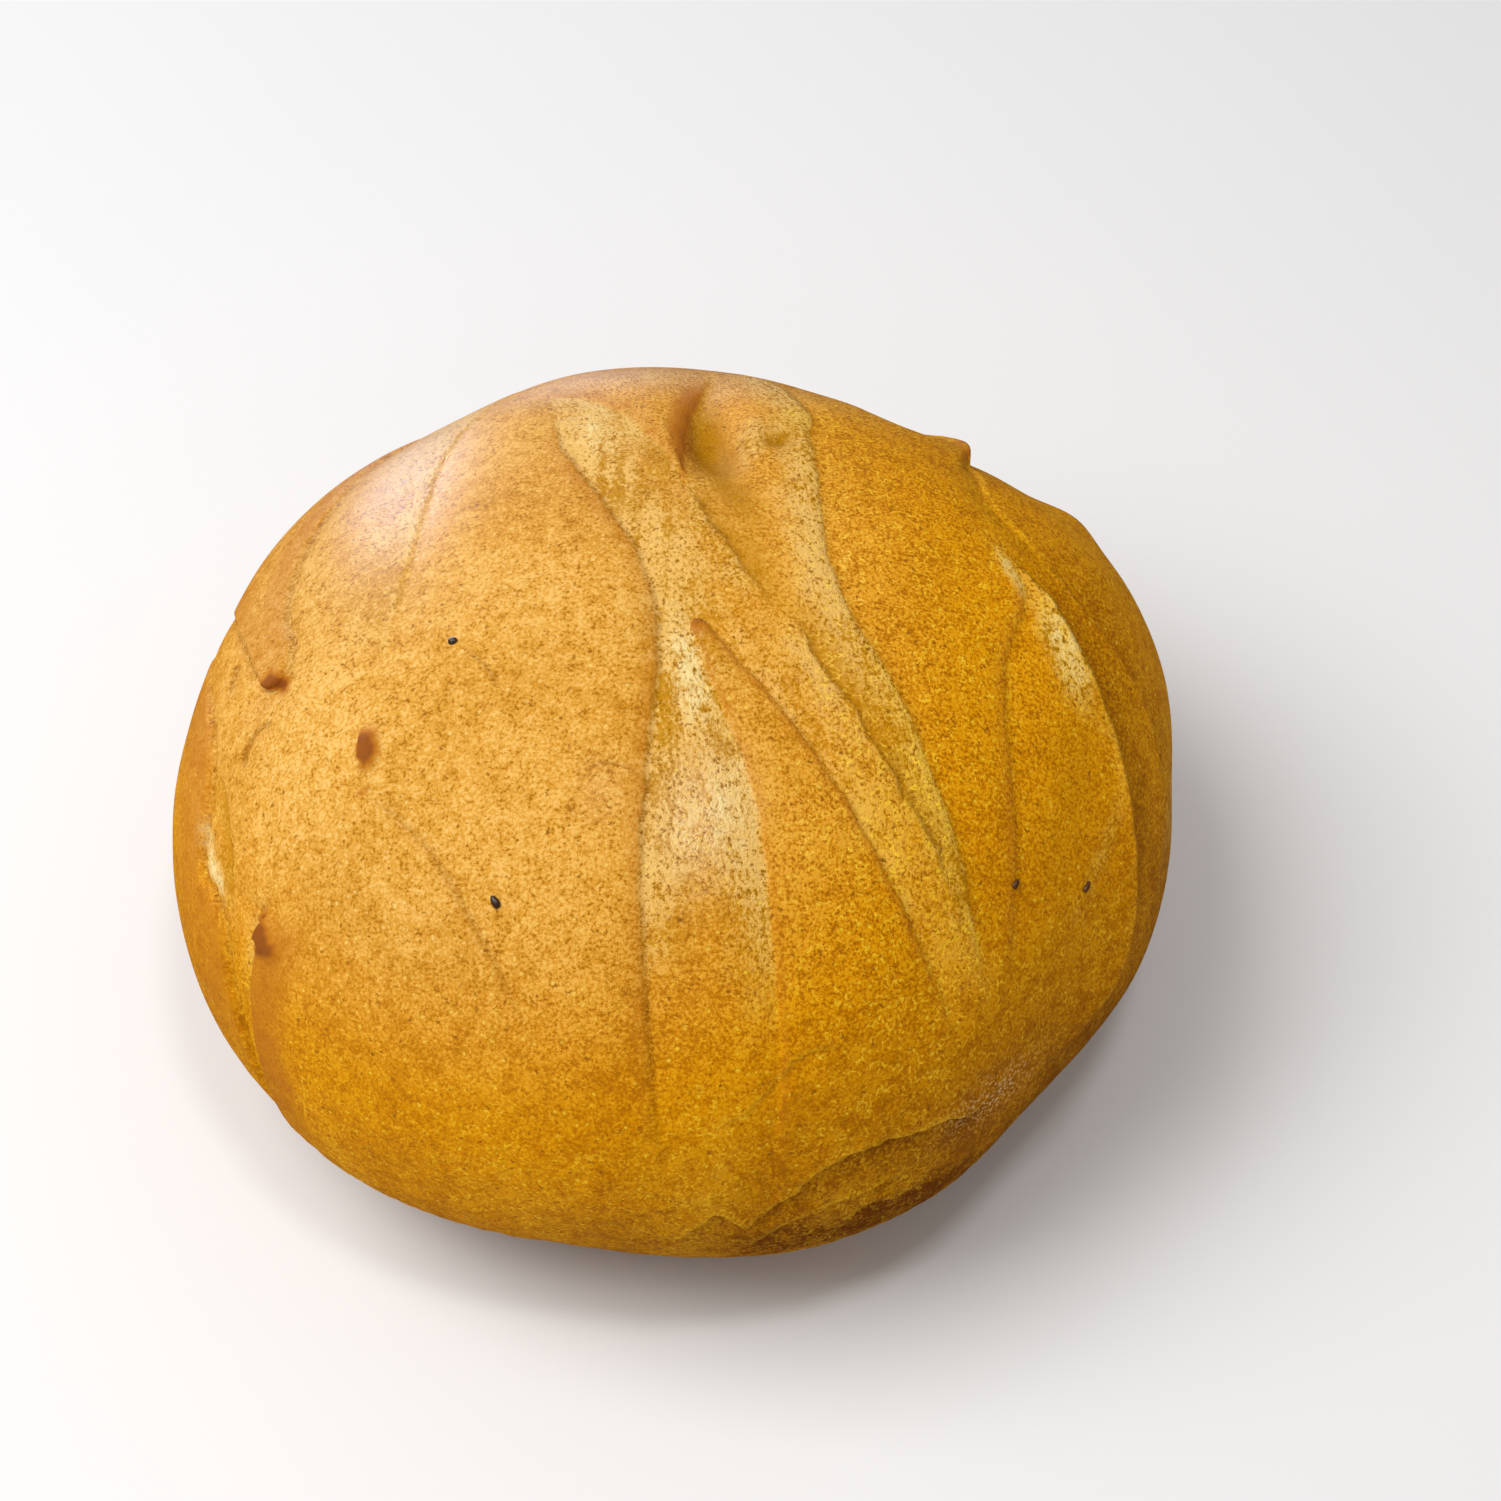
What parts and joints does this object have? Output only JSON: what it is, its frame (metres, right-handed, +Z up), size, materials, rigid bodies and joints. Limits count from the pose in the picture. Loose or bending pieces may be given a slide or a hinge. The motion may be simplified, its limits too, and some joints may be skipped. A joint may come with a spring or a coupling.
{
  "type": "whole wheat bread loaf",
  "caption": "Round whole wheat bread loaf with a golden crust, front-to-back slashes that opened in baking, torn tongues of skin and a flat underside to rest on.",
  "frame": {"origin": "middle of the flat underside, below the middle of the loaf's box", "axes": "+Z up from the underside to the crown, +Y to the back, +X to the right as the picture shows the loaf"},
  "size_m": [0.1802, 0.1746, 0.1024],
  "materials": {
    "crust": "semi-gloss baked crust, golden ochre, browner at the torn tips and the underside"
  },
  "bodies": {
    "root": {"loaf": "crust"}
  },
  "joints": []
}
